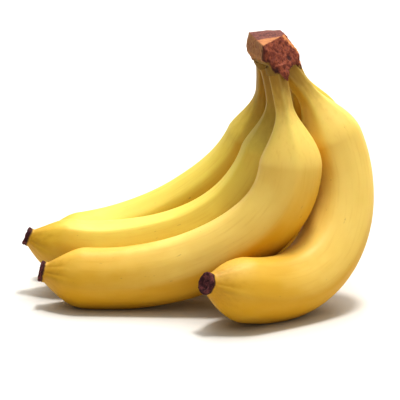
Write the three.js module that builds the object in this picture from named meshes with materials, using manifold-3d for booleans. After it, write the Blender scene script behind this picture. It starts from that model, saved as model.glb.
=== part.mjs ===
// A bunch of five bananas on one cut crown. It stands on the undersides of its fingers, with the
// crown above them and every tip turned up a little. Millimetres, +Z up, ground at Z = 0.
import * as THREE from 'three';
import { ConvexGeometry } from 'three/addons/geometries/ConvexGeometry.js';
import { mergeVertices } from 'three/addons/utils/BufferGeometryUtils.js';
import Module from 'manifold-3d';

// The middle of the crown, seen from the centre of the ground that the bunch covers
const CROWN_AT = new THREE.Vector3(47.75, -5.05, 150);

// Each banana. root is where its neck leaves the crown, from the crown's middle. leaves and ends
// are the way it points there and at its tip, as degrees round from +X and degrees above level.
// bends is how sharply each fifth of it turns, beside the others. slim is the length of its thin
// neck. ridge is the turn of its five edges, and edge how far they stand out.
const FINGERS = [
  {
    name: 'banana_front', root: [0.5, -17.5, -4.5], leaves: [346, -77], ends: [177, 11.5],
    length: 240, girth: 39, neck: 10.5, bends: [0.1, 2.56, 0.94, 0.72, 0.68], slim: 21,
    ridge: -30, edge: 0.022, tip: 12.6,
  },
  {
    name: 'banana_right', root: [5.5, -2.5, -2.5], leaves: [21.5, -45.5], ends: [211.5, 18.5],
    length: 228, girth: 40, neck: 12, bends: [0.54, 1.2, 1.38, 1.54, 0.34], slim: 21,
    ridge: -40, edge: 0.02, tip: 13,
  },
  {
    name: 'banana_left', root: [-3.5, 14.5, -4], leaves: [5, -71], ends: [180.5, 22.5],
    length: 237, girth: 38.5, neck: 11.5, bends: [1.04, 1.38, 1.16, 0.5, 0.92], slim: 22,
    ridge: -36, edge: 0.03, tip: 11.4,
  },
  {
    name: 'banana_back_left', root: [-4.5, 33, -2.5], leaves: [74, -68], ends: [191.5, 2],
    length: 223, girth: 35.5, neck: 11.5, bends: [0.82, 1.77, 0.86, 0.9, 0.64], slim: 23,
    ridge: -36, edge: 0.028, tip: 12,
  },
  {
    name: 'banana_rear', root: [8, 18.5, -0.5], leaves: [47.5, -53], ends: [203, 19.5],
    length: 210, girth: 36.5, neck: 11.5, bends: [0.16, 0.38, 1.47, 1.87, 1.12], slim: 16,
    ridge: -36, edge: 0.028, tip: 12,
  },
];

// What the bananas share, along their length
const SHOULDER_LENGTH = 37;
const TIP_TAPER = 25;
const TIP_STRAIGHT = 2;
const BELLY_FALL = 0.07;
const NECK_SUNK = 3;

// The rounded five-sided section, as shares of the radius
const EDGE_SHARPNESS = 0.3;
const NECK_EDGE = 0.03;

const SIDES = 20;
const RINGS = 38;

// Where two pieces meet, and the thin web of skin round each neck
const GAP = 0.3;
const WEB = 1.4;

// The dark dried flower end: its rings as share of the tip's radius and millimetres beyond the peel
const BLOSSOM_END = [[0.86, 0.3], [1, 0.7], [1.03, 1.3], [0.95, 2], [0.66, 2.3], [0.42, 1.5]];
const BLOSSOM_ROUGH = 0.05;

// Corners of the cut crown block, from its middle: top, sides from front to back, underside
const BLOCK = [
  [-8, -21, 11], [3.5, -5, 15], [6, 1, 16], [4.5, 21, 16], [-3.5, 25, 15.5], [-15, 17, 15],
  [-8, -22, 2.5], [-16.5, 15, 7], [-16.5, 13, 5], [-12.5, 11, -1], [10.5, -3, 8],
  [15, -3, 4], [15.5, -3, -0.5], [14.5, 18, 1.5], [9, 32, 4], [-12, 30, 7], [-12, 36, 0],
  [8, 37, 0], [-0.5, -24, -3.5], [6.5, -21, -4.5], [11, -12, -2],
];

const { Manifold, Mesh: SolidMesh } = await loadSolids();

async function loadSolids() {
  const wasm = await Module();
  wasm.setup();
  return wasm;
}

function toSolid(geometry) {
  const bare = geometry.clone();
  bare.deleteAttribute('normal');
  bare.deleteAttribute('uv');
  const merged = mergeVertices(bare, 1e-4);
  const mesh = new SolidMesh({
    numProp: 3,
    vertProperties: new Float32Array(merged.attributes.position.array),
    triVerts: new Uint32Array(merged.index.array),
  });
  return new Manifold(mesh);
}

function toGeometry(solid) {
  const mesh = solid.getMesh();
  const geometry = new THREE.BufferGeometry();
  geometry.setAttribute('position', new THREE.BufferAttribute(mesh.vertProperties, 3));
  geometry.setIndex(new THREE.BufferAttribute(mesh.triVerts, 1));
  geometry.computeVertexNormals();
  return geometry;
}

function direction([round, above]) {
  const a = THREE.MathUtils.degToRad(round);
  const b = THREE.MathUtils.degToRad(above);
  return new THREE.Vector3(Math.cos(a) * Math.cos(b), Math.sin(a) * Math.cos(b), Math.sin(b));
}

// How sharply the finger turns at a share of its length, eased from fifth to fifth
function bendAt(bends, share) {
  const place = THREE.MathUtils.clamp(share * bends.length - 0.5, 0, bends.length - 1);
  const before = Math.min(Math.floor(place), bends.length - 2);
  return THREE.MathUtils.lerp(bends[before], bends[before + 1], place - before);
}

// Points along the middle of a finger, each with its frame: along it, towards the inside of its
// bend, and across. The whole curve lies in the plane of its first and last directions.
function middleLine(finger) {
  const first = direction(finger.leaves);
  const last = direction(finger.ends);
  const turn = first.angleTo(last);
  const across = first.clone().cross(last).normalize();
  const inside = across.clone().cross(first);
  const weights = Array.from({ length: RINGS }, (_, i) => bendAt(finger.bends, i / (RINGS - 1)));
  const reached = [0];
  for (let i = 1; i < RINGS; i += 1) {
    reached.push(reached[i - 1] + (weights[i - 1] + weights[i]) / 2);
  }
  const step = finger.length / (RINGS - 1);
  const at = new THREE.Vector3(...finger.root).add(CROWN_AT);
  let before = first;
  return reached.map((sum, i) => {
    const angle = (turn * sum) / reached[RINGS - 1];
    const along = first.clone().multiplyScalar(Math.cos(angle));
    along.addScaledVector(inside, Math.sin(angle));
    if (i > 0) {
      at.addScaledVector(before, step / 2).addScaledVector(along, step / 2);
    }
    before = along;
    const inward = across.clone().cross(along);
    return { at: at.clone(), along, inward, across, run: i * step };
  });
}

// Mean radius of a finger at a distance from its root: neck, shoulder, belly, then the tip
function radiusAt(finger, run) {
  const neck = finger.neck / 2;
  const tip = finger.tip / 2;
  const share = run / finger.length;
  const fill = THREE.MathUtils.smoothstep(run, finger.slim, finger.slim + SHOULDER_LENGTH);
  const belly = (finger.girth / 2) * (1 - BELLY_FALL * ((share - 0.55) / 0.45) ** 2);
  const left = THREE.MathUtils.clamp((finger.length - run - TIP_STRAIGHT) / TIP_TAPER, 0, 1);
  const body = neck + (belly - neck) * fill;
  return tip + (body - tip) * Math.sin((Math.PI / 2) * left);
}

// How far the five long edges stand out of the round at an angle round the section
function edgeAt(finger, run, angle) {
  const turn = 5 * (angle - THREE.MathUtils.degToRad(finger.ridge));
  const fill = THREE.MathUtils.smoothstep(run, finger.slim, finger.slim + SHOULDER_LENGTH);
  const height = finger.edge + NECK_EDGE * (1 - fill);
  return height * (Math.cos(turn) + EDGE_SHARPNESS * Math.cos(2 * turn));
}

// Closes a run of rings of points, each ring with SIDES points, with a fan at both ends
function closedTube(rings, firstPoint, lastPoint) {
  const sides = rings[0].length;
  const points = [...rings.flat(), firstPoint, lastPoint];
  const start = rings.length * sides;
  const faces = [];
  for (let j = 0; j < sides; j += 1) {
    const next = (j + 1) % sides;
    faces.push(start, next, j);
    for (let i = 0; i < rings.length - 1; i += 1) {
      const here = i * sides;
      const above = here + sides;
      faces.push(here + j, here + next, above + next, here + j, above + next, above + j);
    }
    const top = start - sides;
    faces.push(top + j, top + next, start + 1);
  }
  const geometry = new THREE.BufferGeometry().setFromPoints(points);
  geometry.setIndex(faces);
  geometry.computeVertexNormals();
  return geometry;
}

function ringPoint(station, angle, radius) {
  const point = station.at.clone();
  point.addScaledVector(station.inward, radius * Math.cos(angle));
  return point.addScaledVector(station.across, radius * Math.sin(angle));
}

// One banana without its dark end, larger all over by extra, with its neck sunk in the crown
function fingerGeometry(finger, extra = 0) {
  const line = middleLine(finger);
  const root = line[0];
  const sunk = root.at.clone().addScaledVector(root.along, -NECK_SUNK - extra);
  const stations = [{ ...root, at: sunk }, ...line];
  const rings = stations.map((station) => Array.from({ length: SIDES }, (_, j) => {
    const angle = THREE.MathUtils.degToRad(finger.ridge) + (j / SIDES) * Math.PI * 2;
    const radius = radiusAt(finger, station.run) * (1 + edgeAt(finger, station.run, angle));
    return ringPoint(station, angle, radius + extra);
  }));
  return closedTube(rings, stations[0].at, stations[stations.length - 1].at);
}

function banana(finger, ground) {
  return toGeometry(toSolid(fingerGeometry(finger)).subtract(ground));
}

// The dried flower end, a shallow dark cup with a lumpy rim
function blossomEnd(finger, random) {
  const line = middleLine(finger);
  const end = line[line.length - 1];
  const lumps = Array.from({ length: SIDES }, () => 1 + BLOSSOM_ROUGH * (2 * random() - 1));
  const rings = BLOSSOM_END.map(([share, beyond]) => {
    const station = { ...end, at: end.at.clone().addScaledVector(end.along, beyond) };
    return lumps.map((lump, j) => {
      const angle = (j / SIDES) * Math.PI * 2;
      return ringPoint(station, angle, (finger.tip / 2) * share * lump);
    });
  });
  const under = end.at.clone().addScaledVector(end.along, BLOSSOM_END[0][1]);
  const cup = end.at.clone().addScaledVector(end.along, BLOSSOM_END.at(-1)[1]);
  return closedTube(rings, under, cup);
}

// The crown: the block that the knife left, and the web of skin that gathers the five necks,
// with a socket for each neck
function crownGeometry() {
  const block = BLOCK.map((corner) => new THREE.Vector3(...corner).add(CROWN_AT));
  const web = FINGERS.flatMap((finger) => {
    const root = middleLine(finger)[0];
    const radius = finger.neck / 2 + WEB;
    return [0, NECK_SUNK].flatMap((back) => {
      const station = { ...root, at: root.at.clone().addScaledVector(root.along, -back) };
      return Array.from({ length: SIDES }, (_, j) => (
        ringPoint(station, (j / SIDES) * Math.PI * 2, radius)
      ));
    });
  });
  let solid = toSolid(new ConvexGeometry(block)).add(toSolid(new ConvexGeometry(web)));
  for (const finger of FINGERS) {
    solid = solid.subtract(toSolid(fingerGeometry(finger, GAP)));
  }
  return toGeometry(solid);
}

// Draws numbers from 0 to 1 that are the same on every run
function randomFrom(seed) {
  let state = seed;
  return () => {
    state = (state * 16807) % 2147483647;
    return state / 2147483647;
  };
}

function piece(name, geometry, material) {
  const mesh = new THREE.Mesh(geometry, material);
  mesh.name = name;
  return mesh;
}

const peel = new THREE.MeshStandardMaterial({ color: 0xf2cc55, roughness: 0.5, metalness: 0 });
const cutCrown = new THREE.MeshStandardMaterial({ color: 0x8d4e3b, roughness: 0.85, metalness: 0 });
const driedFlower = new THREE.MeshStandardMaterial({ color: 0x432124, roughness: 0.9, metalness: 0 });

const GROUND_SIZE = 600;
const GROUND_DEPTH = 60;
const ground = new THREE.BoxGeometry(GROUND_SIZE, GROUND_SIZE, GROUND_DEPTH);
ground.translate(0, 0, -GROUND_DEPTH / 2);
const groundSolid = toSolid(ground);

const bunch = new THREE.Group();
bunch.add(piece('crown', crownGeometry(), cutCrown));
FINGERS.forEach((finger, i) => {
  const place = finger.name.replace('banana_', '');
  bunch.add(piece(finger.name, banana(finger, groundSolid), peel));
  bunch.add(piece(`blossom_end_${place}`, blossomEnd(finger, randomFrom(101 + i)), driedFlower));
});

export default bunch;
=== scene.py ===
"""A bunch of five ripe bananas on one cut crown, standing on the undersides of its fingers."""
import math
from random import Random

import bmesh
import bpy
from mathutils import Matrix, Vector, noise


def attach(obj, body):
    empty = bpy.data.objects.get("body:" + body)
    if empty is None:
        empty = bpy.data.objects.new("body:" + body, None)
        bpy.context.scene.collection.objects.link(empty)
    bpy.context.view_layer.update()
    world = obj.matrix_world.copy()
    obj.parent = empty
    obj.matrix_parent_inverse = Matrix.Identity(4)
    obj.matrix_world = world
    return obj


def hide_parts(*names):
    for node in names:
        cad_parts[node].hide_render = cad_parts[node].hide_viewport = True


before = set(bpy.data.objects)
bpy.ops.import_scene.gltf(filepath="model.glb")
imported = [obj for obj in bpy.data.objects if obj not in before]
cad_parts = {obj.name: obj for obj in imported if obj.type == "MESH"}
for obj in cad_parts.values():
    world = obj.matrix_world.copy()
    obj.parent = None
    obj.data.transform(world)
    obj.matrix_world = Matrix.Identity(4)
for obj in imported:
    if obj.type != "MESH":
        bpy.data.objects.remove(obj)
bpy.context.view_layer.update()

# The camera stands a long step away and looks down on the long side of the bunch a little.
# It is made first, because all the rest is set up for what it sees.
MM = 0.001
LOOKS_AT = Vector((2.75, -32.05, 69)) * MM
CAMERA_DISTANCE = 0.95
CAMERA_ABOVE = math.radians(12)
LENS = 142.5
SENSOR = 36

camera = bpy.data.objects.new("camera", bpy.data.cameras.new("camera"))
camera.data.lens = LENS
camera.data.sensor_width = SENSOR
back_to_camera = Vector((0, -math.cos(CAMERA_ABOVE), math.sin(CAMERA_ABOVE)))
camera.location = LOOKS_AT + back_to_camera * CAMERA_DISTANCE
camera.rotation_euler = (math.pi / 2 - CAMERA_ABOVE, 0, 0)
bpy.context.scene.collection.objects.link(camera)
bpy.context.scene.camera = camera

# The table is one pale warm sheet, lit until it shows white. A small lamp hangs almost straight
# over it and a wide soft one leans in from behind, under a bright ceiling, with white screens
# behind, at the right and in front. The picture is printed a little hard, so that shade goes deep.
LAMPS = {
    "overhead lamp": {"strength": 2.1, "width": 12, "from_behind": 4, "from_right": 7},
    "soft lamp": {"strength": 1.7, "width": 44, "from_behind": 29, "from_right": 9},
}
SCREENS = (
    {"axis": "Z", "side": 1, "starts": 0.55, "full": 0.95, "light": 1.0},
    {"axis": "Y", "side": 1, "starts": 0.3, "full": 0.9, "light": 0.6},
    {"axis": "X", "side": 1, "starts": 0.3, "full": 0.9, "light": 0.45},
    {"axis": "Y", "side": -1, "starts": 0.3, "full": 0.9, "light": 0.38},
)
PICTURE_GAMMA = 0.8
TABLE_HALF = 14
TABLE_DROP = 0.1 * MM
TABLE_COLOUR = (0.73, 0.72, 0.69, 1)


class Wire:
    """A node's output, which takes part in sums as a plain number does."""

    def __init__(self, socket):
        self.socket = socket

    def maths(self, operation, *values):
        inputs = dict(enumerate(values))
        return node(self.socket.id_data, "ShaderNodeMath", {"operation": operation}, inputs)

    def __add__(self, other):
        return self.maths("ADD", self, other)

    def __sub__(self, other):
        return self.maths("SUBTRACT", self, other)

    def __mul__(self, other):
        return self.maths("MULTIPLY", self, other)

    def __rsub__(self, other):
        return self.maths("SUBTRACT", other, self)

    __radd__ = __add__
    __rmul__ = __mul__


def node(tree, kind, settings, inputs, output=0):
    """Adds a node, sets it up, then fills or links its sockets, and gives back one output."""
    made = tree.nodes.new(kind)
    for name, value in settings.items():
        setattr(made, name, value)
    for name, value in inputs.items():
        if isinstance(value, Wire):
            tree.links.new(value.socket, made.inputs[name])
        else:
            made.inputs[name].default_value = value
    return Wire(made.outputs[output])


def finish_tree(name, constants):
    """A new material's node tree and its shader node, with the shader's fixed sockets set."""
    material = bpy.data.materials.new(name)
    material.use_nodes = True
    shader = material.node_tree.nodes["Principled BSDF"]
    for socket, value in constants.items():
        shader.inputs[socket].default_value = value
    return material, material.node_tree, shader


def feed(shader, **wires):
    """Links what changes over a surface to the shader's sockets."""
    for name, wire in wires.items():
        shader.id_data.links.new(wire.socket, shader.inputs[name.replace("_", " ")])


def object_from(name, mesh, *materials):
    """A named object in the scene, at the origin, with its materials."""
    made = bpy.data.objects.new(name, mesh)
    bpy.context.scene.collection.objects.link(made)
    for material in materials:
        mesh.materials.append(material)
    return made


white_sheet = finish_tree(
    "white sheet", {"Roughness": 0.9, "Specular IOR Level": 0.1, "Base Color": TABLE_COLOUR})[0]
table_mesh = bpy.data.meshes.new("table")
table_mesh.from_pydata(
    [(x * TABLE_HALF, y * TABLE_HALF, -TABLE_DROP) for x, y in ((-1, -1), (1, -1), (1, 1), (-1, 1))],
    [], [(0, 1, 2, 3)])
object_from("table", table_mesh, white_sheet)

for name, setting in LAMPS.items():
    lamp = bpy.data.objects.new(name, bpy.data.lights.new(name, "SUN"))
    lamp.data.energy = setting["strength"]
    lamp.data.angle = math.radians(setting["width"])
    lamp.rotation_euler = (-math.radians(setting["from_behind"]), math.radians(setting["from_right"]), 0)
    bpy.context.scene.collection.objects.link(lamp)

room = bpy.data.worlds.new("white room")
room.use_nodes = True
looked_at = node(room.node_tree, "ShaderNodeTexCoord", {}, {}, "Generated")
room_light = 0
for screen in SCREENS:
    ahead = node(room.node_tree, "ShaderNodeSeparateXYZ", {}, {"Vector": looked_at}, screen["axis"])
    edge = {"Value": ahead * screen["side"], "From Min": screen["starts"], "From Max": screen["full"]}
    soft_edge = node(room.node_tree, "ShaderNodeMapRange", {"interpolation_type": "SMOOTHSTEP"}, edge)
    room_light = soft_edge * screen["light"] + room_light
room.node_tree.nodes["Background"].inputs["Color"].default_value = (1, 1, 1, 1)
feed(room.node_tree.nodes["Background"], Strength=room_light)
bpy.context.scene.world = room
bpy.context.scene.view_settings.view_transform = "Standard"
bpy.context.scene.view_settings.gamma = PICTURE_GAMMA

# The bananas are five curved fingers that grew side by side from one crown. Each is a rounded
# five-sided peel on a thin neck, fills out over its shoulder and tapers at the flower end. The
# yellow peel is satin, olive on the neck and a little green towards the tip.
BODY = "root"
CROWN_AT = Vector((47.75, -5.05, 150))
FINGERS = {
    "front": {
        "root": (0.5, -17.5, -4.5), "leaves": (346, -77), "ends": (177, 11.5),
        "length": 240, "girth": 39, "neck": 10.5, "bends": (0.1, 2.56, 0.94, 0.72, 0.68),
        "slim": 21, "ridge": -30, "edge": 0.022, "tip": 12.6, "crest": 0.05,
    },
    "right": {
        "root": (5.5, -2.5, -2.5), "leaves": (21.5, -45.5), "ends": (211.5, 18.5),
        "length": 228, "girth": 40, "neck": 12, "bends": (0.54, 1.2, 1.38, 1.54, 0.34),
        "slim": 21, "ridge": -40, "edge": 0.02, "tip": 13, "crest": 0.05,
    },
    "left": {
        "root": (-3.5, 14.5, -4), "leaves": (5, -71), "ends": (180.5, 22.5),
        "length": 237, "girth": 38.5, "neck": 11.5, "bends": (1.04, 1.38, 1.16, 0.5, 0.92),
        "slim": 22, "ridge": -36, "edge": 0.03, "tip": 11.4, "crest": 0.3,
    },
    "back_left": {
        "root": (-4.5, 33, -2.5), "leaves": (74, -68), "ends": (191.5, 2),
        "length": 223, "girth": 35.5, "neck": 11.5, "bends": (0.82, 1.77, 0.86, 0.9, 0.64),
        "slim": 23, "ridge": -36, "edge": 0.028, "tip": 12, "crest": 0.15,
    },
    "rear": {
        "root": (8, 18.5, -0.5), "leaves": (47.5, -53), "ends": (203, 19.5),
        "length": 210, "girth": 36.5, "neck": 11.5, "bends": (0.16, 0.38, 1.47, 1.87, 1.12),
        "slim": 16, "ridge": -36, "edge": 0.028, "tip": 12, "crest": 0.15,
    },
}
SHOULDER_LENGTH = 37
TIP_TAPER = 25
TIP_STRAIGHT = 2
BELLY_AT = 0.55
BELLY_FALL = 0.07
NECK_SUNK = 3
EDGE_SHARPNESS = 0.3
NECK_EDGE = 0.03
EDGES = 5
EDGE_PITCH = 2 * math.pi / EDGES

PEEL_SIDES = 120
PEEL_RINGS = 230
BODY_STARTS = (18, 45)
BODY_ENDS = (4, 40)
CREST_WIDTH = math.radians(5)
RIDGE_WANDER = math.radians(2.5)
RIDGE_WANDER_LENGTH = 34
SWELL = 0.28
SWELL_LENGTH = 26
CREASES = 9
CREASE_DEPTH = 0.34
CREASE_WIDTH = math.radians(4.5)
CREASE_REACH = 26
CREASES_START = (1, 5)
CREASES_FADE = (7, CREASE_REACH)
CREASE_SHIFT = 0.35
CREASE_LEAN = 0.3
SHALLOWEST_CREASE = 0.3

RIPE_YELLOW = (0.69, 0.385, 0.006, 1)
PALE_YELLOW = (0.93, 0.69, 0.20, 1)
LEMON_YELLOW = (0.87, 0.70, 0.15, 1)
GOLDEN_YELLOW = (0.84, 0.56, 0.08, 1)
DEEP_YELLOW = (0.62, 0.31, 0.006, 1)
NECK_OLIVE = (0.345, 0.185, 0.011, 1)
# Painted highlight along the edges of the necks.
NECK_RIDGE_HIGHLIGHT = (0.66, 0.50, 0.20, 1)
SHOULDER_GREEN = (0.86, 0.73, 0.17, 1)
TIP_GREEN = (0.47, 0.235, 0.007, 1)
SCUFF_BROWN = (0.30, 0.15, 0.04, 1)
END_BROWN = (0.085, 0.03, 0.018, 1)
# Tint of the painted light laid on each finger's upper and side faces.
PAINTED_LIGHT_TINT = {
    "front": PALE_YELLOW, "right": PALE_YELLOW, "left": LEMON_YELLOW, "back_left": LEMON_YELLOW,
    "rear": GOLDEN_YELLOW,
}
# How far the olive of the neck reaches down each finger: on the left and back_left fingers it runs far down
# over the shoulder as painted shade.
OLIVE_REACH_WITH_PAINTED_SHADE = {"front": 44, "right": 44, "left": 80, "back_left": 84, "rear": 40}
# How far from the tip the painted light on upper and side faces changes from its share at the tip to its
# share on the body.
TIP_REACH = {"front": 120, "right": 120, "left": 64, "back_left": 64, "rear": 120}
TIP_REACH_STARTS = 0.38
TIP_REACH_RAGGED = 30
SHOULDER_RUN = (78, 34)
SHOULDER_RAGGED = 22
NECK_FULL_AT = 10
NECK_RAGGED = 16
RIDGE_HIGHLIGHT_RUN = (42, 16)
GREEN_TIP_RUN = (24, 8)
GREEN_TIP_RAGGED = 14
END_RUN = (2.6, 1.4)
END_RAGGED = 2
NEAR_EDGE = (0.42, 0.05)
ON_RIDGE_HIGHLIGHT = (0.2, 0.03)
MOTTLE_LIMITS = (0.38, 0.66)
STREAK_LIMITS = (0.5, 0.8)
FLECK_LIMITS = (0.735, 0.78)
# Painted light: faces that point sideways or up are painted paler, by how far they face up.
SIDE_FACES = (-0.35, 0.3)
TOP_FACES = (0.2, 0.75)
PAINTED_LIGHT_ON_SIDES = {"at tip": 0.12, "more on body": 0.72}
PAINTED_LIGHT_ON_TOPS = {"at tip": 0.22, "less on body": 0.12}
PALE_MOTTLE = 0.12
DEEP_STREAKS = 0.16
GREEN_SHOULDER = {"all round": 0.12, "more on edges": 0.3}
OLIVE_NECK = 0.96
RIDGE_HIGHLIGHT_STRENGTH = 0.18
GREEN_TIP = {"all round": 0.3, "more on streaks": 0.4}
BROWN_FLECKS = 0.4
PEEL_NOISES = {
    "mottle": {"stretch": 0.6, "scale": 0.055, "detail": 3},
    "streak": {"stretch": 0.06, "scale": 0.55, "detail": 3},
    "ragged": {"stretch": 0.35, "scale": 0.35, "detail": 4},
    "fleck": {"stretch": 0.22, "scale": 0.8, "detail": 2},
    "pores": {"stretch": 0.5, "scale": 2.6, "detail": 3},
}


def smooth_step(value, low, high):
    """0 below low, 1 above high, and eased between them."""
    share = min(max((value - low) / (high - low), 0), 1)
    return share * share * (3 - 2 * share)


def direction(degrees):
    """The unit vector that points so many degrees round from +X and so many above level."""
    around, above = (math.radians(d) for d in degrees)
    flat = math.cos(above)
    return Vector((math.cos(around) * flat, math.sin(around) * flat, math.sin(above)))


def bend_at(bends, share):
    """How sharply a finger turns at a share of its length, eased from fifth to fifth."""
    place = min(max(share * len(bends) - 0.5, 0), len(bends) - 1)
    before = min(int(place), len(bends) - 2)
    return bends[before] + (bends[before + 1] - bends[before]) * (place - before)


def middle_line(finger, rings):
    """Stations down a finger: its middle, the way along, towards the inside of the bend, and
    across, with the distance run."""
    first, last = direction(finger["leaves"]), direction(finger["ends"])
    turn = first.angle(last)
    across = first.cross(last).normalized()
    inside = across.cross(first)
    step = finger["length"] / rings
    weights = [bend_at(finger["bends"], i / rings) for i in range(rings + 1)]
    whole = sum(weights) - (weights[0] + weights[-1]) / 2
    at, before, reached = CROWN_AT + Vector(finger["root"]), first, 0
    stations = []
    for i, weight in enumerate(weights):
        if i:
            reached += (weights[i - 1] + weight) / 2
        angle = turn * reached / whole
        along = first * math.cos(angle) + inside * math.sin(angle)
        if i:
            at = at + (before + along) * (step / 2)
        before = along
        stations.append((at, along, across.cross(along), across, i * step))
    return stations


def fill_at(finger, run):
    """How far the finger has filled out from its neck to its body."""
    return smooth_step(run, finger["slim"], finger["slim"] + SHOULDER_LENGTH)


def radius_at(finger, run):
    """Mean radius at a distance from the root: neck, shoulder, belly, then the tip."""
    neck, tip = finger["neck"] / 2, finger["tip"] / 2
    share = run / finger["length"]
    belly = finger["girth"] / 2 * (1 - BELLY_FALL * ((share - BELLY_AT) / (1 - BELLY_AT)) ** 2)
    body = neck + (belly - neck) * fill_at(finger, run)
    left = min(max((finger["length"] - run - TIP_STRAIGHT) / TIP_TAPER, 0), 1)
    return tip + (body - tip) * math.sin(math.pi / 2 * left)


def ring_point(station, angle, radius):
    """A point round a station, measured from the inside of the bend."""
    at, _, inward, across, _ = station
    return at + inward * (radius * math.cos(angle)) + across * (radius * math.sin(angle))


def peel_radius(finger, run, angle, creases, seed):
    """Radius of the peel with its edges, its fine crests, slow swells and creases at the tip."""
    mean = radius_at(finger, run)
    left = finger["length"] - run
    wander = noise.noise(Vector((run / RIDGE_WANDER_LENGTH, seed, 0))) * RIDGE_WANDER
    from_edge = angle - math.radians(finger["ridge"]) - wander
    turn = EDGES * from_edge
    height = finger["edge"] + NECK_EDGE * (1 - fill_at(finger, run))
    radius = mean * (1 + height * (math.cos(turn) + EDGE_SHARPNESS * math.cos(2 * turn)))
    nearest = (from_edge + EDGE_PITCH / 2) % EDGE_PITCH - EDGE_PITCH / 2
    body = smooth_step(left, *BODY_ENDS) * smooth_step(run, *BODY_STARTS)
    radius += finger["crest"] * body * math.exp(-(nearest / CREST_WIDTH) ** 2)
    place = Vector((math.cos(angle) * mean, math.sin(angle) * mean, run)) / SWELL_LENGTH
    radius += noise.noise(place + Vector((seed, 0, 0))) * SWELL * body
    near_tip = smooth_step(left, *CREASES_START) * (1 - smooth_step(left, *CREASES_FADE))
    for centre, depth, lean in creases:
        off = (angle - centre - lean * left / CREASE_REACH + math.pi) % (2 * math.pi) - math.pi
        radius -= depth * near_tip * math.exp(-(off / CREASE_WIDTH) ** 2)
    return radius


def draw_creases(random):
    """Where the creases at a tip lie, how deep each is, and how far it leans."""
    pitch = 2 * math.pi / CREASES
    return [((i + random.uniform(-CREASE_SHIFT, CREASE_SHIFT)) * pitch,
             CREASE_DEPTH * random.uniform(SHALLOWEST_CREASE, 1),
             random.uniform(-CREASE_LEAN, CREASE_LEAN)) for i in range(CREASES)]


def closed_tube(name, rings, first_point, last_point):
    """A smooth closed mesh through rings of points, in millimetres, with a fan at both ends."""
    sides, count = len(rings[0]), len(rings)
    points = [point for ring in rings for point in ring] + [first_point, last_point]
    faces = []
    for j in range(sides):
        after = (j + 1) % sides
        faces.append((count * sides, after, j))
        for i in range(count - 1):
            here, above = i * sides, (i + 1) * sides
            faces.append((here + j, here + after, above + after, above + j))
        top = (count - 1) * sides
        faces.append((top + j, top + after, count * sides + 1))
    mesh = bpy.data.meshes.new(name)
    mesh.from_pydata([point * MM for point in points], [], faces)
    mesh.shade_smooth()
    return mesh


def store(mesh, name, kind, values):
    """Keeps one value for each point of a mesh, for its material to read."""
    layer = mesh.attributes.new(name, kind, "POINT")
    key = "vector" if kind == "FLOAT_VECTOR" else "value"
    for item, value in zip(layer.data, values):
        setattr(item, key, value)


def banana_mesh(name, finger, seed):
    """The peel of one banana, cut flat where it stands on the table."""
    stations = middle_line(finger, PEEL_RINGS)
    at, along, inward, across, run = stations[0]
    stations.insert(0, (at - along * NECK_SUNK, along, inward, across, run))
    creases = draw_creases(Random(seed))
    angles = [2 * math.pi * j / PEEL_SIDES for j in range(PEEL_SIDES)]
    rings, unrolled = [], []
    for station in stations:
        ring = []
        for angle in angles:
            radius = peel_radius(finger, station[4], angle, creases, seed)
            point = ring_point(station, angle, radius)
            point.z = max(point.z, 0)
            ring.append(point)
            mean = radius_at(finger, station[4])
            unrolled.append(Vector((math.cos(angle) * mean, math.sin(angle) * mean, station[4])))
        rings.append(ring)
    mesh = closed_tube(name, rings, stations[0][0], stations[-1][0])
    unrolled += [Vector((0, 0, 0)), Vector((0, 0, finger["length"]))]
    store(mesh, "unrolled", "FLOAT_VECTOR", unrolled)
    store(mesh, "from tip", "FLOAT", [finger["length"] - place.z for place in unrolled])
    half = EDGE_PITCH / 2
    turned = [math.atan2(place.y, place.x) - math.radians(finger["ridge"]) for place in unrolled]
    store(mesh, "from edge", "FLOAT", [abs((t + half) % EDGE_PITCH - half) for t in turned])
    store(mesh, "facing up", "FLOAT", [vertex.normal.z for vertex in mesh.vertices])
    return mesh


def step_mask(tree, value, low, high):
    """A mask that eases from 0 at low to 1 at high, or the other way round where low is more."""
    settings = {"interpolation_type": "SMOOTHSTEP", "clamp": True}
    inputs = {"Value": value, "From Min": low, "From Max": high, "To Min": 0, "To Max": 1}
    return node(tree, "ShaderNodeMapRange", settings, inputs)


def blend_colour(tree, mask, under, over):
    """One colour over another by a mask. The Mix node keeps its colours in sockets 6, 7 and 2."""
    settings = {"data_type": "RGBA"}
    return node(tree, "ShaderNodeMix", settings, {"Factor": mask, 6: under, 7: over}, 2)


def stretched(tree, place, stretch, shift):
    """A place in space, stretched and moved, for noise to be read at."""
    scaled = node(tree, "ShaderNodeVectorMath", {"operation": "MULTIPLY"}, {0: place, 1: stretch})
    return node(tree, "ShaderNodeVectorMath", {"operation": "ADD"}, {0: scaled, 1: shift})


def noise_at(tree, place, scale, detail):
    """Smooth noise about 0.5."""
    return node(tree, "ShaderNodeTexNoise", {}, {"Vector": place, "Scale": scale, "Detail": detail})


def attribute(tree, name, output):
    """What store() kept on the mesh under a name."""
    return node(tree, "ShaderNodeAttribute", {"attribute_name": name}, {}, output)


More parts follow.
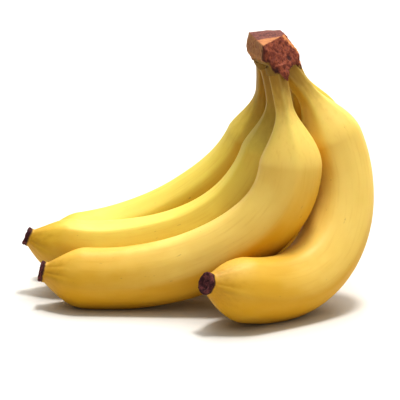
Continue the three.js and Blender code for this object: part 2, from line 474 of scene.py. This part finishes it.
def banana_peel(seed, painted_light_tint, olive_reach, tip_reach):
    """Ripe deep yellow peel, olive on the neck and dark at the end, with painted light: paler faces that
    point up or sideways, a painted highlight on the neck's edges, and painted shade down the left fingers'
    necks.
    """
    constants = {
        "Specular IOR Level": 0.42, "Subsurface Weight": 0.12, "Subsurface Scale": 0.003,
        "Subsurface Radius": (1.0, 0.55, 0.12),
    }
    material, tree, shader = finish_tree("banana peel", constants)
    place = attribute(tree, "unrolled", "Vector")
    run = node(tree, "ShaderNodeSeparateXYZ", {}, {"Vector": place}, "Z")
    from_tip = attribute(tree, "from tip", "Fac")
    from_edge = attribute(tree, "from edge", "Fac")
    shift = (seed * 37.0, seed * 11.0, 0.0)

    mottle, streak, ragged, fleck, pores = (
        noise_at(tree, stretched(tree, place, (1, 1, kind["stretch"]), shift), kind["scale"], kind["detail"])
        for kind in PEEL_NOISES.values())

    facing_up = attribute(tree, "facing up", "Fac")
    tip_starts = tip_reach * TIP_REACH_STARTS
    off_tip = step_mask(tree, from_tip + mottle * TIP_REACH_RAGGED, tip_starts, tip_reach)
    # Painted light: paler where the peel faces up or sideways, by its stored normals; random mottle adds to
    # it.
    painted_light_and_mottle = step_mask(tree, facing_up, *SIDE_FACES) * (
        PAINTED_LIGHT_ON_SIDES["at tip"] + off_tip * PAINTED_LIGHT_ON_SIDES["more on body"])
    painted_light_and_mottle = painted_light_and_mottle + step_mask(tree, facing_up, *TOP_FACES) * (
        PAINTED_LIGHT_ON_TOPS["at tip"] - off_tip * PAINTED_LIGHT_ON_TOPS["less on body"])
    painted_light_and_mottle = painted_light_and_mottle + step_mask(tree, mottle, *MOTTLE_LIMITS) * PALE_MOTTLE
    streaks = step_mask(tree, streak, *STREAK_LIMITS) * DEEP_STREAKS
    shoulder = step_mask(tree, run + ragged * SHOULDER_RAGGED, *SHOULDER_RUN) * (
        GREEN_SHOULDER["all round"]
        + step_mask(tree, from_edge, *NEAR_EDGE) * GREEN_SHOULDER["more on edges"])
    # Olive neck, the peel's own colour on every neck, and painted shade where it reaches far down the left
    # fingers.
    neck = step_mask(tree, run + ragged * NECK_RAGGED, olive_reach, NECK_FULL_AT) * OLIVE_NECK
    # Painted highlight: a pale line along each neck's edges.
    painted_ridge_highlight = step_mask(tree, from_edge, *ON_RIDGE_HIGHLIGHT) * step_mask(tree, run, *RIDGE_HIGHLIGHT_RUN)
    greening = step_mask(tree, from_tip + ragged * GREEN_TIP_RAGGED, *GREEN_TIP_RUN) * (
        GREEN_TIP["all round"] + streak * GREEN_TIP["more on streaks"])
    flecks = step_mask(tree, fleck, *FLECK_LIMITS) * BROWN_FLECKS
    end = step_mask(tree, from_tip + ragged * END_RAGGED, *END_RUN)
    coats = (
        (painted_light_and_mottle, painted_light_tint), (streaks, DEEP_YELLOW), (shoulder, SHOULDER_GREEN), (neck, NECK_OLIVE),
        (painted_ridge_highlight * RIDGE_HIGHLIGHT_STRENGTH, NECK_RIDGE_HIGHLIGHT), (greening, TIP_GREEN), (flecks, SCUFF_BROWN),
        (end, END_BROWN),
    )
    colour = RIPE_YELLOW
    for mask, coat in coats:
        colour = blend_colour(tree, mask, colour, coat)

    roughness = 0.45 + streak * 0.12 + end * 0.3
    height = pores * 0.5 + streak * 0.5
    relief = node(tree, "ShaderNodeBump", {}, {"Strength": 0.1, "Distance": 0.2 * MM, "Height": height})
    feed(shader, Base_Color=colour, Roughness=roughness, Normal=relief)
    return material


for seed, (place, finger) in enumerate(FINGERS.items(), 1):
    name = "banana_" + place
    peel = banana_peel(seed, PAINTED_LIGHT_TINT[place], OLIVE_REACH_WITH_PAINTED_SHADE[place], TIP_REACH[place])
    banana = object_from("peel_" + place, banana_mesh(name, finger, seed), peel)
    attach(banana, BODY)
    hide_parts(name)

# The crown is the short block of stalk that the knife left when the bunch was cut. Its cut faces
# dried to a red-brown fibrous wood with a paler scar on top, and a web of skin below gathers the
# five necks. Its lower edge hangs over them in a few dry points.
BLOCK = (
    (-8, -21, 11), (3.5, -5, 15), (6, 1, 16), (4.5, 21, 16), (-3.5, 25, 15.5), (-15, 17, 15),
    (-8, -22, 2.5), (-16.5, 15, 7), (-16.5, 13, 5), (-12.5, 11, -1), (10.5, -3, 8),
    (15, -3, 4), (15.5, -3, -0.5), (14.5, 18, 1.5), (9, 32, 4), (-12, 30, 7), (-12, 36, 0),
    (8, 37, 0), (-0.5, -24, -3.5), (6.5, -21, -4.5), (11, -12, -2),
)
FRONT_FLAP = (
    (-1, -24.9, -2.5), (8.5, -20.5, -4), (7.2, -23, -10.5), (5, -19.5, -5), (2, -25, -6), (4.2, -24.7, -8),
)
RIGHT_FLAP = ((13.5, -5, -0.5), (16, 6, 0), (17.1, 1, -6.2), (12.5, 1, -1), (14.5, -3.5, -4.5))
KNOB = ((-11.5, 22, -4.5), (-9.5, 25, -8), (-6, 19, -2), (-6, 28, -3), (-9.5, 18, -2.5), (-12, 25, -2))
SKIRT = (
    (-16, 0, 0), (-8, -22, 1.5), (-4.4, -23, 1.5), (-3, -24, -1.5), (-0.6, -24, -5.2),
    (2.2, -24.5, -5), (4.6, -24, -8), (7.2, -23, -12), (8.4, -21, -5), (10.8, -12, -1.6),
    (12.5, -9, -2), (14.1, -5, -5), (15.6, -3, -2.5), (17.1, 1, -6.4), (16.5, 6, -1),
    (16, 18, -0.5), (9, 32, 0.5), (0, 37, -1), (-12, 33, 0.5), (-14, 11, -1),
)
SKIRT_ROUND = Vector((0, 5, 0))
SKIRT_RAGGED = 0.7
SKIRT_BLUR = 0.4
HEM = 1.4
HEM_BREAKS = (-0.3, 0.1)
HEM_DARK = 0.8
COLLAR = ((-3.5, 1.1), (0, 0.9), (2, 0.5))
WEB_SIDES = 24
CROWN_GRAIN = 0.55
CUT_CORNER_SOFTNESS = 3
FIBRE_DEPTH = 0.5
FIBRE_STRETCH = Vector((0.9, 0.9, 0.12))
LUMP_DEPTH = 0.7
LUMP_PITCH = 0.28
LUMPS_CALM_FROM = (10, 14)
KNOT_DEPTH = 0.35
KNOT_BLUR = (0.4, 1.2)
RAGGED_PITCH = {"coarse": 0.16, "fine": 0.7}
CUT_TOP_FACES = (0.72, 0.9)
CUT_TOP_FROM = (9, 11)
CUT_SIDE_FACES = (0.35, 0.75)
CORNER_REACH = (0.4, 2)
CROWN_MASKS = ("top", "side", "rim", "knot", "web", "corner")
FIBRES_PER_METRE = 1700
PATCHES_PER_METRE = 420
CRUMBS_PER_METRE = 1500
SCRATCHES_PER_METRE = 900
FIBRE_RUN = (1, 1, 0.2)
SCRATCH_RUN = (0.25, 1, 1)
UNMOVED = (0, 0, 0)
SCAR_RAGGED = 6 * MM
SCAR_BLUR = 1 * MM
DARK_FIBRES = 0.6
PALE_SIDE_OF_CUT = 0.8
DARK_CORNER = 0.7
DARK_KNOTS = 0.85
RIM = ((4.5, -2, 15.5), (10.5, -2, 9), (15.5, 0, 4.5), (16, 2, -0.5))
RIM_WIDTH = 2.6
RIM_FULL = RIM_WIDTH * 0.4
NEAR_CORNER = ((-8, -21, 11), (-8, -22, 2.5), (-0.5, -24, -3.5))
SCAR_ENDS_AT = -5
KNOTS = (((8.3, -12, 2.8), 2.2), ((0, -24, -3.5), 2.4), ((9, -13, -2.5), 1.6))

CUT_BROWN = (0.22, 0.055, 0.03, 1)
CUT_DARK = (0.045, 0.010, 0.010, 1)
CUT_RED = (0.36, 0.105, 0.05, 1)
SCAR_TAN = (0.62, 0.29, 0.12, 1)
TOP_PURPLE = (0.11, 0.035, 0.035, 1)
TOP_PINK = (0.34, 0.13, 0.09, 1)
SIDE_OLIVE = (0.50, 0.29, 0.13, 1)
SIDE_BROWN = (0.36, 0.15, 0.075, 1)
RIM_ORANGE = (0.72, 0.32, 0.12, 1)
WEB_OLIVE = (0.27, 0.165, 0.03, 1)


def hull_into(joined, corners):
    """Adds the closed hull of some corners to a mesh being built."""
    points = [joined.verts.new(Vector(corner) * MM) for corner in corners]
    made = bmesh.ops.convex_hull(joined, input=points)
    left_inside = [v for v in made["geom_interior"] if isinstance(v, bmesh.types.BMVert)]
    bmesh.ops.delete(joined, geom=left_inside, context="VERTS")


def applied(piece):
    """The piece's mesh with its modifiers worked in."""
    graph = bpy.context.evaluated_depsgraph_get()
    mesh = bpy.data.meshes.new_from_object(piece.evaluated_get(graph))
    piece.modifiers.clear()
    old = piece.data
    piece.data = mesh
    bpy.data.meshes.remove(old)
    return mesh


def collar(finger):
    """Points round one neck where it leaves the crown, wide above and close at its lower edge."""
    at, along, inward, across, run = middle_line(finger, 1)[0]
    points = []
    for down, proud in COLLAR:
        ring = (at + along * down, along, inward, across, run)
        for j in range(WEB_SIDES):
            angle = 2 * math.pi * j / WEB_SIDES
            points.append(ring_point(ring, angle, finger["neck"] / 2 + proud))
    return points


def distance_to_line(point, corners):
    """How far a point is from the nearest stretch of a line through corners."""
    nearest = math.inf
    for start, end in zip(corners, corners[1:]):
        start, end = Vector(start), Vector(end)
        way = end - start
        share = min(max((point - start).dot(way) / way.length_squared, 0), 1)
        nearest = min(nearest, (point - start - way * share).length)
    return nearest


def skirt_at(place):
    """The height of the brown skin's lower edge on the side where a place lies."""
    def turn(point):
        away = point - SKIRT_ROUND
        return math.atan2(away.y, away.x)

    here = turn(place)
    edge = sorted((turn(Vector(corner)), corner[2]) for corner in SKIRT)
    edge = [(edge[-1][0] - 2 * math.pi, edge[-1][1])] + edge + [(edge[0][0] + 2 * math.pi, edge[0][1])]
    for (start, low), (end, high) in zip(edge, edge[1:]):
        if here <= end:
            return low + (high - low) * (here - start) / (end - start)
    return edge[-1][1]


def crown_mesh():
    """The block, the web and the dry points grown into one fine skin, with its fibres raised."""
    joined = bmesh.new()
    for corners in (BLOCK, FRONT_FLAP, RIGHT_FLAP, KNOB):
        hull_into(joined, [CROWN_AT + Vector(corner) for corner in corners])
    for finger in FINGERS.values():
        hull_into(joined, collar(finger))
    mesh = bpy.data.meshes.new("crown")
    joined.to_mesh(mesh)
    joined.free()
    shell = object_from("cut_crown", mesh)
    remesh = shell.modifiers.new("one skin", "REMESH")
    remesh.mode = "VOXEL"
    remesh.voxel_size = CROWN_GRAIN * MM
    softened = shell.modifiers.new("dried corners", "SMOOTH")
    softened.iterations = CUT_CORNER_SOFTNESS
    mesh = applied(shell)
    normals = [vertex.normal.copy() for vertex in mesh.vertices]
    masks = {name: [] for name in CROWN_MASKS}
    for vertex, normal in zip(mesh.vertices, normals):
        place = vertex.co / MM - CROWN_AT
        coarse = noise.noise(place * RAGGED_PITCH["coarse"])
        fine = noise.noise(place * RAGGED_PITCH["fine"])
        below = skirt_at(place) - place.z + SKIRT_RAGGED * (coarse + fine)
        web = smooth_step(below, -SKIRT_BLUR, SKIRT_BLUR)
        hem = (1 - web) * (1 - smooth_step(-below, 0, HEM)) * smooth_step(coarse, *HEM_BREAKS)
        rim = 1 - smooth_step(distance_to_line(place, RIM) + fine, RIM_FULL, RIM_WIDTH)
        core, reach = KNOT_BLUR
        knot = max(1 - smooth_step((place - Vector(centre)).length + fine, size * core, size * reach)
                   for centre, size in KNOTS)
        top = smooth_step(normal.z, *CUT_TOP_FACES) * smooth_step(place.z, *CUT_TOP_FROM)
        side = smooth_step(-normal.x, *CUT_SIDE_FACES)
        corner = 1 - smooth_step(distance_to_line(place, NEAR_CORNER) + fine, *CORNER_REACH)
        for name, value in zip(CROWN_MASKS, (top, side, rim, max(knot, hem * HEM_DARK), web, corner)):
            masks[name].append(value)
        along_fibres = place * FIBRE_STRETCH
        fibres = noise.noise(along_fibres) + 0.5 * noise.noise(along_fibres * 2.3)
        raised = FIBRE_DEPTH * fibres * (1 - web) * (1 - top * 0.7)
        lumps = LUMP_DEPTH * (1 - 0.6 * web) * (1 - 0.7 * smooth_step(place.z, *LUMPS_CALM_FROM))
        raised += lumps * noise.noise(place * LUMP_PITCH) - KNOT_DEPTH * knot
        vertex.co += normal * (raised * MM)
    for name, values in masks.items():
        store(mesh, name, "FLOAT", values)
    mesh.shade_smooth()
    return shell, mesh


def cut_crown_finish():
    """Dry cut stalk: red-brown with dark fibres, a tan scar on top, olive skin below."""
    material, tree, shader = finish_tree("dry cut crown", {"Specular IOR Level": 0.3})
    place = node(tree, "ShaderNodeTexCoord", {}, {}, "Object")
    ahead = node(tree, "ShaderNodeSeparateXYZ", {}, {"Vector": place}, "Y")
    masks = {name: attribute(tree, name, "Fac") for name in CROWN_MASKS}
    fibres = noise_at(tree, stretched(tree, place, FIBRE_RUN, UNMOVED), FIBRES_PER_METRE, 4)
    patches = noise_at(tree, place, PATCHES_PER_METRE, 4)
    crumbs = noise_at(tree, place, CRUMBS_PER_METRE, 3)

    colour = blend_colour(tree, step_mask(tree, patches, 0.4, 0.62), CUT_BROWN, CUT_RED)
    colour = blend_colour(tree, step_mask(tree, fibres, 0.5, 0.66) * DARK_FIBRES, colour, CUT_DARK)
    side = blend_colour(tree, step_mask(tree, fibres, 0.42, 0.66), SIDE_OLIVE, SIDE_BROWN)
    colour = blend_colour(tree, masks["side"] * PALE_SIDE_OF_CUT, colour, side)
    colour = blend_colour(tree, masks["rim"] * (0.6 + patches * 0.6), colour, RIM_ORANGE)
    scar_end = (CROWN_AT.y + SCAR_ENDS_AT) * MM
    ragged_ahead = ahead + (patches - 0.5) * SCAR_RAGGED
    scar = step_mask(tree, ragged_ahead, scar_end + SCAR_BLUR, scar_end - SCAR_BLUR)
    top = blend_colour(tree, step_mask(tree, crumbs + patches * 0.5, 0.6, 0.9), TOP_PURPLE, TOP_PINK)
    across_scar = stretched(tree, place, SCRATCH_RUN, UNMOVED)
    scratches = noise_at(tree, across_scar, SCRATCHES_PER_METRE, 3)
    scar_wood = blend_colour(tree, step_mask(tree, scratches, 0.45, 0.65) * 0.6, SCAR_TAN, CUT_RED)
    top = blend_colour(tree, scar, top, scar_wood)
    colour = blend_colour(tree, masks["top"], colour, top)
    colour = blend_colour(tree, masks["corner"] * DARK_CORNER, colour, CUT_DARK)
    colour = blend_colour(tree, masks["knot"] * DARK_KNOTS, colour, CUT_DARK)
    web = blend_colour(tree, step_mask(tree, fibres, 0.5, 0.75) * 0.5, WEB_OLIVE, CUT_BROWN)
    colour = blend_colour(tree, masks["web"], colour, web)

    height = fibres * 0.7 + crumbs * 0.5
    relief = node(tree, "ShaderNodeBump", {}, {"Strength": 0.6, "Distance": 0.5 * MM, "Height": height})
    feed(shader, Base_Color=colour, Roughness=0.6 + crumbs * 0.3, Normal=relief)
    return material


crown, skin = crown_mesh()
skin.materials.append(cut_crown_finish())
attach(crown, BODY)
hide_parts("crown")

# The blossom ends are what is left of each flower: a shallow dark cup at the tip, dried hard, with
# a crumbled rim and one low stub in its middle. Each grew on its banana and sits on its end.
CUP_SIDES = 72
CUP_PROFILE = (
    (0.80, -0.6), (0.93, -0.2), (0.99, 0.2), (1.02, 0.7), (1.03, 1.2), (1.0, 1.7), (0.92, 2.05),
    (0.82, 2.1), (0.7, 1.7), (0.58, 1.2), (0.46, 0.9), (0.34, 1.0), (0.2, 1.5), (0.1, 1.7),
)
CUP_LOBES = 1.7
CUP_LOBE_RUN = 0.3
CUPS_APART = 9
CUP_LUMPS = {"broad": 0.08, "fine": 0.048}
CUP_RIM_LUMPS = 0.4
CUP_RIM_FROM = (0.5, 2.5)
CUP_HEART_DEPTH = 0.2
CUP_CRUMBS_PER_METRE = 900
CUP_PATCHES_PER_METRE = 380
CUP_DARK = (0.065, 0.018, 0.022, 1)
CUP_BROWN = (0.19, 0.06, 0.06, 1)
CUP_ASH = (0.30, 0.20, 0.17, 1)


def cup_mesh(name, finger, seed):
    """The dried cup at a tip, its rim broken by noise."""
    at, along, inward, across, run = middle_line(finger, PEEL_RINGS)[-1]
    rings = []
    for share, beyond in CUP_PROFILE:
        ring = []
        for j in range(CUP_SIDES):
            angle = 2 * math.pi * j / CUP_SIDES
            lobe = Vector((math.cos(angle), math.sin(angle), 0)) * CUP_LOBES
            lobe.z = beyond * CUP_LOBE_RUN + seed * CUPS_APART
            fine_lump = CUP_LUMPS["fine"] * noise.noise(lobe * 2.7)
            lump = 1 + CUP_LUMPS["broad"] * noise.noise(lobe) + fine_lump
            proud = CUP_RIM_LUMPS * noise.noise(lobe * 1.9) * smooth_step(beyond, *CUP_RIM_FROM)
            station = (at + along * (beyond + proud), along, inward, across, run)
            ring.append(ring_point(station, angle, finger["tip"] / 2 * share * lump))
        rings.append(ring)
    root = at + along * CUP_PROFILE[0][1]
    heart = at + along * (CUP_PROFILE[-1][1] - CUP_HEART_DEPTH)
    return closed_tube(name, rings, root, heart)


def dried_flower_finish():
    """Dried flower: near-black brown with dusty rims."""
    material, tree, shader = finish_tree("dried flower", {"Specular IOR Level": 0.25})
    place = node(tree, "ShaderNodeTexCoord", {}, {}, "Object")
    crumbs = noise_at(tree, place, CUP_CRUMBS_PER_METRE, 4)
    patches = noise_at(tree, place, CUP_PATCHES_PER_METRE, 3)
    colour = blend_colour(tree, step_mask(tree, patches, 0.42, 0.62), CUP_DARK, CUP_BROWN)
    colour = blend_colour(tree, step_mask(tree, crumbs, 0.6, 0.75) * 0.6, colour, CUP_ASH)
    relief = node(tree, "ShaderNodeBump", {}, {"Strength": 0.7, "Distance": 0.5 * MM, "Height": crumbs})
    feed(shader, Base_Color=colour, Roughness=0.7 + crumbs * 0.25, Normal=relief)
    return material


dried_flower = dried_flower_finish()
for seed, (place, finger) in enumerate(FINGERS.items(), 1):
    name = "blossom_end_" + place
    cup = object_from("dried_flower_" + place, cup_mesh(name, finger, seed), dried_flower)
    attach(cup, BODY)
    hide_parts(name)
